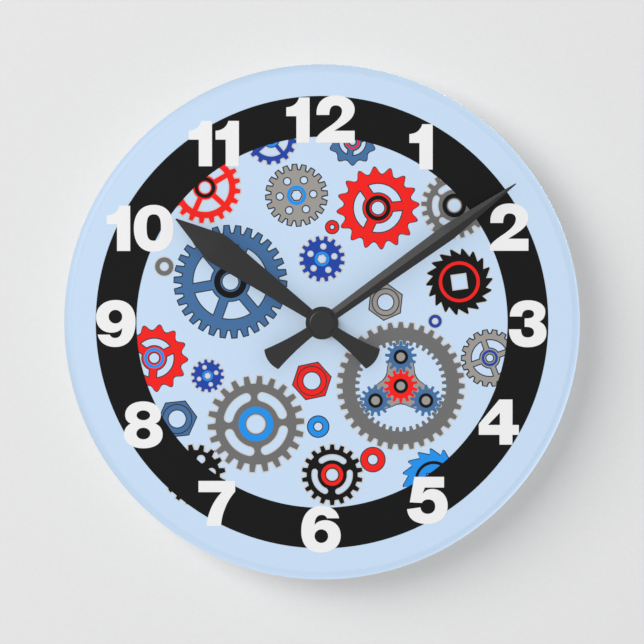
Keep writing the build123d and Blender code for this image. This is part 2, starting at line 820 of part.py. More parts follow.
# Setting wheel: gear on a stem that reaches back to the knob
stem_rear = knob_back_gap + knob_back_wall + loose
with BuildPart() as setting_wheel:
    wheel(setting_axis, setting_teeth, cannon_module, setting_phase, cannon_layer)
    disc(setting_axis, stem_radius, stem_rear, cannon_layer)
    disc(
        setting_axis, stem_collar_radius, well_front + end_play,
        well_front + end_play + stem_collar_length,
    )
    disc(setting_axis, stem_radius, cannon_layer + wheel_thickness, setting_boss - end_play)
    disc(
        setting_axis, setting_pivot_radius, cannon_layer + wheel_thickness,
        setting_boss + pivot_depth,
    )
setting_wheel.part.label = "setting_wheel"
export_step(setting_wheel.part, "parts/setting_wheel.step")

# Setting knob: grooved thumb knob pressed on the stem
with BuildPart() as setting_knob:
    with BuildSketch(face_plane(knob_back_gap)):
        with Locations(setting_axis):
            Circle(knob_radius)
            with PolarLocations(knob_radius, knob_grooves):
                RegularPolygon(knob_groove_depth, 4, mode=Mode.SUBTRACT)
    extrude(amount=knob_height)
    disc(
        setting_axis, stem_radius + fixed_fit, knob_back_gap + knob_back_wall, knob_front,
        Mode.SUBTRACT,
    )
setting_knob.part.label = "setting_knob"
export_step(setting_knob.part, "parts/setting_knob.step")

# Centre wheel: slips on the minute arbor when the hands are set
with BuildPart() as centre_wheel:
    wheel(centre, centre_wheel_teeth, centre_module, centre_wheel_phase, centre_layer)
    disc(centre, minute_seat + running, centre_layer, centre_layer + wheel_thickness, Mode.SUBTRACT)
centre_wheel.part.label = "centre_wheel"
export_step(centre_wheel.part, "parts/centre_wheel.step")

# Third wheel: wheel driven by the second pinion, with the pinion that drives the centre wheel
third_pinion_rear = centre_layer - pinion_overhang
third_pinion_front = centre_layer + wheel_thickness + pinion_overhang
pivot_rear = bridge_rear + loose
collar_rear = bridge_front + end_play
with BuildPart() as third_wheel:
    wheel(third_axis, third_wheel_teeth, third_module, third_wheel_phase, third_layer)
    pinion(
        third_axis, third_pinion_teeth, centre_module, third_pinion_phase,
        third_pinion_rear, third_pinion_front,
    )
    disc(third_axis, pinion_root(third_pinion_teeth, centre_module), third_layer, third_pinion_rear)
    disc(third_axis, pivot_radius, pivot_rear, third_boss + pivot_depth)
    disc(third_axis, collar_radius, collar_rear, collar_rear + stator_clearance)
    disc(third_axis, collar_radius, third_pinion_front, third_boss - end_play)
third_wheel.part.label = "third_wheel"
export_step(third_wheel.part, "parts/third_wheel.step")

# Second wheel: turns once a minute, with a long arbor inside the minute tube
second_pinion_rear = third_layer - pinion_overhang
second_pinion_front = third_layer + wheel_thickness + pinion_overhang
second_pinion_phase = third_direction
with BuildPart() as second_wheel:
    wheel(centre, second_wheel_teeth, second_module, second_wheel_phase, second_layer)
    pinion(
        centre, second_pinion_teeth, third_module, second_pinion_phase,
        second_pinion_rear, second_pinion_front,
    )
    disc(
        centre, pinion_root(second_pinion_teeth, third_module),
        second_layer + wheel_thickness, second_pinion_rear,
    )
    disc(centre, second_arbor_radius, second_pinion_front, minute_arbor_front - loose)
    disc(centre, collar_radius, collar_rear, second_layer)
    disc(centre, pivot_radius, pivot_rear, collar_rear)
second_wheel.part.label = "second_wheel"
export_step(second_wheel.part, "parts/second_wheel.step")

# Intermediate wheel with the pinion that drives the second wheel
intermediate_pinion_rear = second_layer - pinion_overhang
intermediate_pinion_front = second_layer + wheel_thickness + pinion_overhang
with BuildPart() as intermediate_wheel:
    wheel(
        intermediate_axis, intermediate_wheel_teeth, rotor_module, intermediate_wheel_phase,
        rotor_layer,
    )
    pinion(
        intermediate_axis, intermediate_pinion_teeth, second_module, intermediate_pinion_phase,
        intermediate_pinion_rear, intermediate_pinion_front,
    )
    disc(intermediate_axis, collar_radius, collar_rear, intermediate_boss - end_play)
    disc(intermediate_axis, pivot_radius, pivot_rear, intermediate_boss + pivot_depth)
intermediate_wheel.part.label = "intermediate_wheel"
export_step(intermediate_wheel.part, "parts/intermediate_wheel.step")

# Rotor pinion on the rotor shaft
magnet_rear = stator_rear - magnet_overhang
magnet_front = stator_front + magnet_overhang
rotor_pinion_front = rotor_layer + wheel_thickness + pinion_overhang
with BuildPart() as rotor_pinion:
    pinion(
        rotor_axis, rotor_pinion_teeth, rotor_module, rotor_pinion_phase,
        rotor_layer - pinion_overhang, rotor_pinion_front,
    )
    disc(rotor_axis, pivot_radius, pivot_rear, rotor_boss + pivot_depth)
    disc(rotor_axis, collar_radius, magnet_front, rotor_layer)
    disc(rotor_axis, collar_radius, rotor_pinion_front, rotor_boss - end_play)
    disc(rotor_axis, collar_radius, collar_rear, magnet_rear)
rotor_pinion.part.label = "rotor_pinion"
export_step(rotor_pinion.part, "parts/rotor_pinion.step")

# Rotor magnet: ring on the rotor shaft
with BuildPart() as rotor_magnet:
    disc(rotor_axis, magnet_radius, magnet_rear, magnet_front)
    disc(rotor_axis, pivot_radius + fixed_fit, magnet_rear, magnet_front, Mode.SUBTRACT)
rotor_magnet.part.label = "rotor_magnet"
export_step(rotor_magnet.part, "parts/rotor_magnet.step")

# Stator: iron plate with the rotor hole and two legs for the coil core
with BuildPart() as stator:
    bar_low = rotor_axis[1] - stator_bar_half
    block(
        stator_left, stator_right, bar_low, rotor_axis[1] + stator_bar_half,
        stator_rear, stator_front,
    )
    block(stator_left, stator_left + stator_leg, bar_low, leg_top, stator_rear, stator_front)
    block(stator_right - stator_leg, stator_right, bar_low, leg_top, stator_rear, stator_front)
    disc(rotor_axis, stator_disc, stator_rear, stator_front)
    disc(rotor_axis, magnet_radius + rotor_hole_gap, stator_rear, stator_front, Mode.SUBTRACT)
stator.part.label = "stator"
export_step(stator.part, "parts/stator.step")

# Coil core: iron bar across the legs of the stator
core_front = stator_front + core_thickness
core_middle = (stator_front + core_front) / 2
with BuildPart() as coil_core:
    block(
        stator_left, stator_right, coil_z - core_height / 2, coil_z + core_height / 2,
        stator_front, core_front,
    )
coil_core.part.label = "coil_core"
export_step(coil_core.part, "parts/coil_core.step")

# Coil bobbin: flanged tube on the core
bobbin_left = stator_left + stator_leg + bobbin_end_gap
bobbin_right = stator_right - stator_leg - bobbin_end_gap
with BuildPart() as coil_bobbin:
    with BuildSketch(side_plane(bobbin_right)):
        with Locations((core_middle, coil_z)):
            Circle(bobbin_tube_radius)
    extrude(amount=bobbin_right - bobbin_left)
    for flange_right in (bobbin_right, bobbin_left + bobbin_flange):
        with BuildSketch(side_plane(flange_right)):
            with Locations((core_middle, coil_z)):
                Circle(bobbin_flange_radius)
        extrude(amount=bobbin_flange)
    with BuildSketch(side_plane(bobbin_right)):
        with Locations((core_middle, coil_z)):
            Rectangle(core_thickness + 2 * loose, core_height + 2 * loose)
    extrude(amount=bobbin_right - bobbin_left, mode=Mode.SUBTRACT)
coil_bobbin.part.label = "coil_bobbin"
export_step(coil_bobbin.part, "parts/coil_bobbin.step")

# Coil winding: copper between the flanges
winding_right = bobbin_right - bobbin_flange
with BuildPart() as coil_winding:
    with BuildSketch(side_plane(winding_right)):
        with Locations((core_middle, coil_z)):
            Circle(winding_radius)
            Circle(bobbin_tube_radius + fixed_fit, mode=Mode.SUBTRACT)
    extrude(amount=winding_right - bobbin_left - bobbin_flange)
coil_winding.part.label = "coil_winding"
export_step(coil_winding.part, "parts/coil_winding.step")

# Circuit board, lying on two pillars of the case
with BuildPart() as circuit_board:
    block(-board_half_width, board_half_width, board_bottom, board_top, board_rear, board_front)
circuit_board.part.label = "circuit_board"
export_step(circuit_board.part, "parts/circuit_board.step")

# Chip under a flat drop of resin
chip_x = crystal_x + crystal_length + chip_gap + chip_radius
chip_z = board_bottom + chip_radius + board_gap
with BuildPart() as chip_blob:
    disc((chip_x, chip_z), chip_radius, board_rear - chip_height, board_rear)
    fillet(chip_blob.edges().filter_by(GeomType.CIRCLE).sort_by(Axis.Y)[-1], chip_height / 2)
chip_blob.part.label = "chip_blob"
export_step(chip_blob.part, "parts/chip_blob.step")

# Quartz crystal: small can lying on the board, with its two wires
crystal_z = board_bottom + crystal_radius + board_gap
crystal_depth = board_rear - crystal_radius - running
with BuildPart() as quartz_crystal:
    with BuildSketch(side_plane(crystal_x + crystal_length)):
        with Locations((crystal_depth, crystal_z)):
            Circle(crystal_radius)
    extrude(amount=crystal_length)
    with BuildSketch(side_plane(crystal_x)):
        with Locations((crystal_depth, crystal_z)):
            with GridLocations(0, crystal_radius, 1, 2):
                Circle(crystal_wire_radius)
    extrude(amount=crystal_wire_length)
quartz_crystal.part.label = "quartz_crystal"
export_step(quartz_crystal.part, "parts/quartz_crystal.step")

# Battery contacts: an end plate, a strip along the wall and a tab on the board
plate_rear = cell_depth - contact_plate_width / 2
plate_front = cell_depth + contact_plate_width / 2
plate_bottom = cell_z - contact_plate_height / 2
plate_top = cell_z + contact_plate_height / 2
strip_front = tab_rear + contact_strip_width
tab_bottom = board_middle - contact_tab_height / 2
tab_top = board_middle + contact_tab_height / 2
with BuildPart() as positive_contact:
    block(contact_inner, contact_outer, plate_bottom, plate_top, plate_rear, plate_front)
    block(contact_inner, contact_outer, cell_z, tab_top, tab_rear, strip_front)
    block(
        board_half_width - contact_tab_length, contact_outer, tab_bottom, tab_top,
        tab_rear, board_rear,
    )
positive_contact.part.label = "positive_contact"
export_step(positive_contact.part, "parts/positive_contact.step")

spring_rear = cell_depth - spring_width / 2
spring_low = cell_z - spring_foot / 2
spring_high = cell_z + spring_foot / 2
with BuildPart() as negative_contact:
    block(-contact_outer, -contact_inner, plate_bottom, plate_top, plate_rear, plate_front)
    block(-contact_outer, -contact_inner, cell_z, tab_top, tab_rear, strip_front)
    block(
        -contact_outer, contact_tab_length - board_half_width, tab_bottom, tab_top,
        tab_rear, board_rear,
    )
    with BuildSketch(face_plane(spring_rear)):
        with BuildLine():
            Polyline(
                (-contact_inner, spring_low),
                (spring_tip, cell_z),
                (loose - contact_inner, spring_high),
                (loose - contact_inner, spring_high - 2 * contact_thickness),
                (spring_tip - contact_thickness, cell_z),
                (-contact_inner, spring_low + 2 * contact_thickness),
                close=True,
            )
        make_face()
    extrude(amount=spring_width)
negative_contact.part.label = "negative_contact"
export_step(negative_contact.part, "parts/negative_contact.step")

# Battery cell lying across the bay
body_right = cell_right - cell_nub_length
with BuildPart() as battery_cell:
    with BuildSketch(side_plane(body_right)):
        with Locations((cell_depth, cell_z)):
            Circle(cell_radius)
    extrude(amount=body_right - cell_left)
    fillet(battery_cell.edges().filter_by(GeomType.CIRCLE), cell_edge)
    with BuildSketch(side_plane(cell_right)):
        with Locations((cell_depth, cell_z)):
            Circle(cell_nub_radius)
    extrude(amount=cell_nub_length)
battery_cell.part.label = "battery_cell"
export_step(battery_cell.part, "parts/battery_cell.step")
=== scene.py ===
"""Looks of a round wall clock: printed acrylic dial, leaf hands and a battery movement behind.

Metres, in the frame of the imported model: +Z is up, the dial faces -Y and +X is at three o'clock.
Places on the dial are given in millimetres, as (x, z) from the axis of the hands.
"""
import json
import math

import bmesh
import bpy
from mathutils import Matrix, Vector


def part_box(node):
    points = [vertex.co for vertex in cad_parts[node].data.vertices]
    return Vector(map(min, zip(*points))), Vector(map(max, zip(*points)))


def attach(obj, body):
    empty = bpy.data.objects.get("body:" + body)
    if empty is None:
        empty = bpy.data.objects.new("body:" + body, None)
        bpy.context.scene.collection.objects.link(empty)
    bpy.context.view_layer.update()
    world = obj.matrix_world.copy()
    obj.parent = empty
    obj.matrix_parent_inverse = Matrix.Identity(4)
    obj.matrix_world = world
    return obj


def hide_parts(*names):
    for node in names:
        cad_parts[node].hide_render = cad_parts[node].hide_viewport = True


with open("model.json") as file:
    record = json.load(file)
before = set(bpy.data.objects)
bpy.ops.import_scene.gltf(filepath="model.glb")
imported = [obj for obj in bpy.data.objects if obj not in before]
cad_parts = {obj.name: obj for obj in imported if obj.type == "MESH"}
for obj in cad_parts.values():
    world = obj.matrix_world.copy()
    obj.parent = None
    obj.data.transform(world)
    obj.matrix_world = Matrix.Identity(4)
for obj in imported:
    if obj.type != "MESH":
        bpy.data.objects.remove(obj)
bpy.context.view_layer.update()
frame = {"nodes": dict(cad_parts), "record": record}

MM = 0.001

# Sizes read from the frame
dial_low, dial_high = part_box("dial_plate")
FACE_Y = dial_low.y
BACK_Y = dial_high.y
DIAL_RADIUS = min(-dial_low.x, dial_high.x, -dial_low.z, dial_high.z)

# Bore and edges of the dial
BORE_RADIUS = 4.1 * MM
RIM_RADIUS = 3.0 * MM
BACK_EDGE = 0.6 * MM
DIAL_SUPPORT = 0.2 * MM
BACKING_DEPTH = 0.05 * MM
DIAL_STEPS = 288

# Ground of the dial, and the painted shade over its rounded edge, in 8-bit display values
GROUND = (204, 226, 249)
PAINTED_EDGE_SHADE = (188, 210, 233)

# Print: thickness of one layer, and the order of the layers on the face
LAYER = 0.01 * MM
GEAR_LAYER = 1
RING_LAYER = 8
NUMERAL_LAYER = 9

# Print in millimetres: line round a gear, chapter ring, numerals and the inset of their edges
LINE = 0.45
RING_INNER = 73.0
RING_OUTER = 89.0
CAP_HEIGHT = 18.0
THINNING = 0.11

# Arrows on the setting knob, in millimetres and degrees
ARROW_RADIUS = 3.3
ARROW_WIDTH = 0.7
ARROW_BARB = 0.91
ARROW_START = 10
ARROW_SWEEP = 115
ARROW_HEAD = 26
ARROW_THICKNESS = 0.03 * MM

# Battery cell: button, dished end, groove round the button, can and wrap
BUTTON_LENGTH = 1.4 * MM
BUTTON_RADIUS = 2.7 * MM
BUTTON_EDGE = 0.3 * MM
DISH_DEPTH = 0.25 * MM
DISH_FLOOR = 3.6 * MM
DISH_RADIUS = 4.2 * MM
GROOVE_DEPTH = 0.3 * MM
GROOVE_RADIUS = 4.4 * MM
GROOVE_FLOOR_OUTER = 3.9 * MM
GROOVE_FLOOR_INNER = 3.2 * MM
CAN_INSET = 0.12 * MM
CAN_EDGE = 0.4 * MM
CAN_SUPPORT = 0.1 * MM
WRAP_START = 0.02 * MM
WRAP_PAST_SHOULDER = 0.03 * MM
WRAP_CURL = 1.1 * MM
WRAP_EDGE = 0.45 * MM
WRAP_SUPPORT = 0.05 * MM
WRAP_INNER_START = 0.06 * MM
WRAP_GAP = 0.02 * MM
WRAP_LEAN = 1.0 * MM
LINE_START = 8.0 * MM
LINE_END = 9.0 * MM
BAND_LENGTH = 9.0 * MM
CELL_STEPS = 96

# View: widths of the photograph and of the dial in pixels, lens in millimetres, rise in degrees
PHOTO_WIDTH = 644
DIAL_PIXELS = 516.5
LENS = 200.0
SENSOR = 36.0
CAMERA_RISE = 1.5
AIM_HEIGHT = 0.19 * MM

# Wall
WALL_HALF_WIDTH = 1.6
WALL_GAP = 0.4 * MM

# Light: places and sizes in metres, powers in watts, angles in degrees from +X towards +Z
KEY_PLACE = (-2.32, -2.97, 1.34)
KEY_SIZE = (2.0, 3.4)
KEY_POWER = 104.0
RIM_LIGHTS = {"side_light": 15, "low_light": -75}
RIM_LIGHT_REACH = 1.87
RIM_LIGHT_DEPTH = 0.08
RIM_LIGHT_SIZE = (0.8, 0.15)
RIM_LIGHT_POWER = 21.0
REAR_PLACE = (0.12, 2.52, 0.18)
REAR_SIZE = (1.2, 1.2)
REAR_POWER = 24.0
WORLD_LEVEL = 0.52
PALE_LEVEL = 0.8


def linear(red, green, blue):
    """Linear colour from 8-bit display values."""
    channels = []
    for value in (red, green, blue):
        share = value / 255
        if share <= 0.04045:
            channels.append(share / 12.92)
        else:
            channels.append(((share + 0.055) / 1.055) ** 2.4)
    return tuple(channels)


# Materials


def new_material(name):
    """Empty node material, with its surface shader."""
    material = bpy.data.materials.new(name)
    material.use_nodes = True
    tree = material.node_tree
    return material, tree, tree.nodes["Principled BSDF"]


def noise(tree, scale, detail, stretch=(1, 1, 1)):
    """Noise over the object's own coordinates; scale is in repeats per metre."""
    place = tree.nodes.new("ShaderNodeTexCoord")
    mapping = tree.nodes.new("ShaderNodeMapping")
    mapping.inputs["Scale"].default_value = stretch
    texture = tree.nodes.new("ShaderNodeTexNoise")
    texture.inputs["Scale"].default_value = scale
    texture.inputs["Detail"].default_value = detail
    tree.links.new(place.outputs["Object"], mapping.inputs["Vector"])
    tree.links.new(mapping.outputs["Vector"], texture.inputs["Vector"])
    return texture.outputs["Fac"]


def shades(tree, factor, dark, light):
    """Colour between two shades, led by a factor."""
    ramp = tree.nodes.new("ShaderNodeValToRGB")
    first, last = ramp.color_ramp.elements
    first.position = 0.3
    first.color = (*dark, 1)
    last.position = 0.7
    last.color = (*light, 1)
    tree.links.new(factor, ramp.inputs["Fac"])
    return ramp.outputs["Color"]


def spread(tree, factor, low, high):
    """Number between two ends, led by a factor."""
    span = tree.nodes.new("ShaderNodeMapRange")
    span.inputs["To Min"].default_value = low
    span.inputs["To Max"].default_value = high
    tree.links.new(factor, span.inputs["Value"])
    return span.outputs["Result"]


def relief(tree, surface, factor, depth):
    """Bump of a real depth in metres."""
    bump = tree.nodes.new("ShaderNodeBump")
    bump.inputs["Distance"].default_value = depth
    tree.links.new(factor, bump.inputs["Height"])
    tree.links.new(bump.outputs["Normal"], surface.inputs["Normal"])


def tinted(colour, share):
    """A colour made lighter or darker by a share."""
    return tuple(min(1.0, max(0.0, channel * (1 + share))) for channel in colour)


def ink(name, colour, gloss=0.2):
    """Printed ink under a clear, even gloss."""
    material, tree, surface = new_material(name)
    dots = noise(tree, 2600, 2.0)
    tree.links.new(
        shades(tree, dots, tinted(colour, -0.02), tinted(colour, 0.02)),
        surface.inputs["Base Color"],
    )
    cloud = noise(tree, 90, 2.0)
    tree.links.new(spread(tree, cloud, 0.30, 0.38), surface.inputs["Roughness"])
    surface.inputs["Specular IOR Level"].default_value = gloss
    relief(tree, surface, noise(tree, 60, 1.0), 0.00002)
    return material


def plain(name, colour, roughness, grain, depth, variation=0.08):
    """Moulded plastic, rubber or resin with a fine surface grain; grain is its size in metres."""
    material, tree, surface = new_material(name)
    speck = noise(tree, 1 / grain, 4.0)
    cloud = noise(tree, 45, 2.0)
    tree.links.new(
        shades(tree, cloud, tinted(colour, -variation), tinted(colour, variation)),
        surface.inputs["Base Color"],
    )
    tree.links.new(
        spread(tree, speck, roughness * 0.85, roughness * 1.15), surface.inputs["Roughness"]
    )
    relief(tree, surface, speck, depth)
    return material


def metal(name, colour, roughness, grain, stretch=(1, 1, 1)):
    """Bare metal with drawn or turned marks."""
    material, tree, surface = new_material(name)
    marks = noise(tree, 1 / grain, 5.0, stretch)
    stain = noise(tree, 70, 3.0)
    tree.links.new(
        shades(tree, stain, tinted(colour, -0.12), tinted(colour, 0.06)),
        surface.inputs["Base Color"],
    )
    tree.links.new(
        spread(tree, marks, roughness * 0.7, roughness * 1.3), surface.inputs["Roughness"]
    )
    surface.inputs["Metallic"].default_value = 1.0
    relief(tree, surface, marks, 0.00001)
    return material


def printed_acrylic():
    """Ground of the dial: pale blue, with painted shade deepening it over its rounded edge."""
    material = ink("ink_ground", linear(*GROUND))
    tree = material.node_tree
    surface = tree.nodes["Principled BSDF"]
    tone = surface.inputs["Base Color"].links[0].from_socket
    place = tree.nodes.new("ShaderNodeTexCoord")
    flat = tree.nodes.new("ShaderNodeVectorMath")
    flat.operation = "MULTIPLY"
    flat.inputs[1].default_value = (1, 0, 1)
    reach = tree.nodes.new("ShaderNodeVectorMath")
    reach.operation = "LENGTH"
    rise = tree.nodes.new("ShaderNodeMapRange")
    rise.interpolation_type = "SMOOTHSTEP"
    rise.inputs["From Min"].default_value = DIAL_RADIUS - 1.3 * RIM_RADIUS
    rise.inputs["From Max"].default_value = DIAL_RADIUS - 0.4 * RIM_RADIUS
    # Painted shade: the ground turns to a darker blue over the rounded edge, standing in for the
    # edge's shading
    mix = tree.nodes.new("ShaderNodeMixRGB")
    mix.inputs["Color2"].default_value = (*linear(*PAINTED_EDGE_SHADE), 1)
    tree.links.new(place.outputs["Object"], flat.inputs[0])
    tree.links.new(flat.outputs["Vector"], reach.inputs[0])
    tree.links.new(reach.outputs["Value"], rise.inputs["Value"])
    tree.links.new(rise.outputs["Result"], mix.inputs["Fac"])
    tree.links.new(tone, mix.inputs["Color1"])
    tree.links.new(mix.outputs["Color"], surface.inputs["Base Color"])
    return material


INK_COLOURS = {
    "white": (244, 244, 244),
    "red": (248, 30, 25),
    "steel_blue": (68, 113, 163),
    "grey": (112, 112, 112),
    "light_grey": (160, 156, 152),
    "pale_line": (208, 206, 205),
    "dark_line": (48, 50, 54),
    "royal_blue": (28, 68, 168),
    "azure": (30, 148, 238),
}
inks = {name: ink(f"ink_{name}", linear(*colour)) for name, colour in INK_COLOURS.items()}
inks["black"] = ink("ink_black", linear(20, 20, 20), 0.10)
inks["ground"] = printed_acrylic()
backing = plain("backing_white", linear(226, 228, 230), 0.4, 0.0008, 0.00001, 0.02)
finishes = {
    "hand_paint": plain("satin_black_paint", linear(15, 15, 16), 0.30, 0.0005, 0.000004, 0.05),
    "brass": metal("turned_brass", (0.72, 0.50, 0.20), 0.28, 0.0004),
    "rubber": plain("matt_rubber", linear(28, 28, 29), 0.75, 0.0004, 0.00004),
    "case_plastic": plain("black_moulding", linear(30, 30, 32), 0.48, 0.00035, 0.00003),
    "gear_plastic": plain("natural_acetal", linear(236, 232, 218), 0.38, 0.0006, 0.000005),
    "bridge_plastic": plain("grey_moulding", linear(205, 206, 208), 0.42, 0.0005, 0.00001),
    "steel": metal("stamped_steel", (0.56, 0.57, 0.58), 0.32, 0.0012, (1, 1, 0.06)),
    "magnet": metal("ground_magnet", (0.22, 0.22, 0.23), 0.4, 0.0003),
    "copper_wire": metal("enamelled_copper", (0.72, 0.30, 0.13), 0.3, 0.0002, (1, 0.1, 0.1)),
    "board": plain("solder_mask", linear(24, 92, 48), 0.3, 0.0005, 0.00001),
    "resin": plain("black_resin", linear(14, 14, 14), 0.15, 0.0008, 0.00001),
    "crystal_can": metal("drawn_can", (0.78, 0.78, 0.79), 0.22, 0.0006),
    "contact_metal": metal("nickel_plate", (0.70, 0.68, 0.62), 0.26, 0.0008, (1, 1, 0.1)),
    "cell_wrap": plain("wrap_blue", linear(42, 84, 150), 0.24, 0.0009, 0.000005, 0.03),
    "knob_plastic": plain("red_moulding", linear(196, 32, 28), 0.4, 0.0004, 0.00002),
}
wrap_band = plain("wrap_band", linear(196, 199, 203), 0.22, 0.0009, 0.000005, 0.03)
slot_of = {row["node"]: row["material_slot"] for row in frame["record"]["subparts"]}


def set_material(piece, material):
    """Puts one material on the whole of a piece."""
    piece.data.materials.clear()
    piece.data.materials.append(material)


for node, piece in frame["nodes"].items():
    set_material(piece, finishes.get(slot_of[node], inks["ground"]))


# Meshes


def add_piece(name, mesh):
    """Object in the scene that shows this mesh."""
    piece = bpy.data.objects.new(name, mesh)
    bpy.context.scene.collection.objects.link(piece)
    return piece


def smooth(mesh, angle=32):
    """Smooth shading with sharp edges past an angle in degrees."""
    for face in mesh.polygons:
        face.use_smooth = True
    mesh.set_sharp_from_angle(angle=math.radians(angle))


def on_circle(centre, radius, angle):
    """Point on a circle, with its angle in degrees."""
    turn = math.radians(angle)
    return (centre[0] + radius * math.cos(turn), centre[1] + radius * math.sin(turn))


def arc(centre, radius, start, end, steps):
    """Points on an arc, with angles in degrees."""
    return [
        on_circle(centre, radius, start + (end - start) * step / steps)
        for step in range(steps + 1)
    ]


def lathe(name, profile, place, steps, closed):
    """Mesh turned from (radius, run) points; place gives a point from radius, angle and run."""
    mesh = bpy.data.meshes.new(name)
    build = bmesh.new()
    rings = []
    for radius, run in profile:
        if radius < 1e-7:
            rings.append([build.verts.new(place(0, 0, run))])
            continue
        rings.append([
            build.verts.new(place(radius, 2 * math.pi * step / steps, run))
            for step in range(steps)
        ])
    pairs = list(zip(rings, rings[1:]))
    if closed:
        pairs.append((rings[-1], rings[0]))
    for first, second in pairs:
        for step in range(steps):
            corners = [
                first[step % len(first)],
                second[step % len(second)],
                second[(step + 1) % len(second)],
                first[(step + 1) % len(first)],
            ]
            build.faces.new(list(dict.fromkeys(corners)))
    bmesh.ops.recalc_face_normals(build, faces=build.faces)
    build.to_mesh(mesh)
    build.free()
    smooth(mesh)
    return mesh


# Dial disc


def make_dial():
    """Disc with a full rounded front edge, printed on its front and white behind."""
    front = arc((DIAL_RADIUS - RIM_RADIUS, FACE_Y + RIM_RADIUS), RIM_RADIUS, -90, 0, 14)
    back = arc((DIAL_RADIUS - BACK_EDGE, BACK_Y - BACK_EDGE), BACK_EDGE, 0, 90, 5)
    profile = [
        (BORE_RADIUS, FACE_Y),
        (front[0][0] - DIAL_SUPPORT, FACE_Y),
        *front,
        *back,
        (back[-1][0] - DIAL_SUPPORT, BACK_Y),
        (BORE_RADIUS, BACK_Y),
    ]

    def place(radius, angle, run):
        return (radius * math.sin(angle), run, radius * math.cos(angle))

    mesh = lathe("dial_disc", profile, place, DIAL_STEPS, True)
    mesh.materials.append(inks["ground"])
    mesh.materials.append(backing)
    for face in mesh.polygons:
        if face.center.y > BACK_Y - BACKING_DEPTH:
            face.material_index = 1
    disc = add_piece("dial_disc", mesh)
    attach(disc, "case")
    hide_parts("dial_plate")


make_dial()


# Print on the face: closed loops of (x, z) points in millimetres


def circle(at, radius, steps=72):
    """Round loop."""
    return arc(at, radius, 0, 360 - 360 / steps, steps - 1)


def hexagon(at, across, turn=0):
    """Six-sided loop; across is the distance between flats."""
    return arc(at, across / math.sqrt(3), turn, turn + 300, 5)


def teeth_loop(at, teeth, root, tip, turn=0, grow=0.0, shares=(0.60, 0.34)):
    """Loop of straight-sided teeth; grow widens it all round.

    The shares are a tooth's widths at its root and tip, against the pitch.
    """
    loop = []
    pitch = 360 / teeth
    for tooth in range(teeth):
        middle = turn + tooth * pitch
        sides = (
            (root + grow, -shares[0]), (tip + grow, -shares[1]),
            (tip + grow, shares[1]), (root + grow, shares[0]),
        )
        for radius, share in sides:
            lean = math.degrees(grow / radius) * math.copysign(1, share)
            loop.append(on_circle(at, radius, middle + share * pitch / 2 + lean))
    return loop


def saw_loop(at, teeth, root, tip, turn=0, grow=0.0):
    """Loop of slanted ratchet teeth."""
    loop = []
    pitch = 360 / teeth
    for tooth in range(teeth):
        start = turn + tooth * pitch
        for radius, share in ((root + grow, 0.0), (tip + grow, 0.78), (tip + grow, 0.94)):
            loop.append(on_circle(at, radius, start + share * pitch))
    return loop


def wave_loop(at, lobes, root, tip, turn=0, grow=0.0):
    """Loop of round lobes, as on a chain wheel."""
    loop = []
    steps = lobes * 10
    for step in range(steps):
        angle = 360 * step / steps
        lift = (0.5 + 0.5 * math.cos(math.radians(lobes * angle))) ** 1.3
        radius = root + (tip - root) * lift + grow
        loop.append(on_circle(at, radius, angle + turn))
    return loop


def windows(at, count, inner, outer, spoke, turn=0, grow=0.0):
    """Loops of the openings between straight spokes of one width."""
    loops = []
    low = inner + grow
    high = outer - grow
    half = spoke / 2 + grow
    for number in range(count):
        start = turn + number * 360 / count
        end = start + 360 / count
        inner_gap = math.degrees(math.asin(half / low))
        outer_gap = math.degrees(math.asin(half / high))
        loops.append(
            arc(at, high, start + outer_gap, end - outer_gap, 10)
            + arc(at, low, end - inner_gap, start + inner_gap, 6)
        )
    return loops


def slots(at, count, middle, half_width, reach, turn=0, grow=0.0):
    """Loops of curved slots with round ends; reach is each slot's length in degrees."""
    loops = []
    radius = half_width - grow
    for number in range(count):
        start = turn + number * 360 / count
        end = start + reach
        first = on_circle(at, middle, start)
        last = on_circle(at, middle, end)
        loops.append(
            arc(at, middle + radius, start, end, 8)
            + arc(last, radius, end, end + 180, 6)
            + arc(at, middle - radius, end, start, 8)
            + arc(first, radius, start + 180, start + 360, 6)
        )
    return loops


def holes(at, count, middle, radius, turn=0, grow=0.0):
    """Loops of round holes on a circle."""
    centres = arc(at, middle, turn, turn + 360 - 360 / count, count - 1)
    return [circle(centre, radius - grow, 28) for centre in centres]


shapes = {}


def draw(colour, layer, loops):
    """Adds one outline and its holes to the print of one ink and layer."""
    shapes.setdefault((colour, layer), []).append(loops)


def outlined(colour, line, shape):
    """Draws a shape over a slightly larger copy, which shows as its outline."""
    draw(line, GEAR_LAYER, shape(LINE))
    draw(colour, GEAR_LAYER + 1, shape(0.0))


def boss(at, colour, outer, inner, layer=GEAR_LAYER + 2):
    """Flat ring round the bore of a gear."""
    draw(colour, layer, [circle(at, outer), circle(at, inner)])


def spoked_gear(at, teeth, tip, spokes, colour, line, accent, turn=0):
    """Gear with straight spokes and a coloured boss."""
    root = tip * 0.86
    rim = tip * 0.68
    hub = tip * 0.34
    bore = tip * 0.16
    spoke = tip * 0.15

    def shape(grow):
        return [
            teeth_loop(at, teeth, root, tip, turn, grow),
            *windows(at, spokes, hub, rim, spoke, turn, grow),
            circle(at, bore - grow),
        ]

    outlined(colour, line, shape)
    boss(at, accent, hub * 0.86, bore + LINE)


def slotted_gear(at, teeth, tip, count, colour, line, accent, turn=0):
    """Gear with curved slots in its web."""
    root = tip * 0.84
    middle = tip * 0.58
    half_slot = tip * 0.10
    reach = 230 / count
    bore = tip * 0.20

    def shape(grow):
        return [
            teeth_loop(at, teeth, root, tip, turn, grow, (0.56, 0.36)),
            *slots(at, count, middle, half_slot, reach, turn, grow),
            circle(at, bore - grow),
        ]

    outlined(colour, line, shape)
    boss(at, accent, tip * 0.36, bore + LINE)


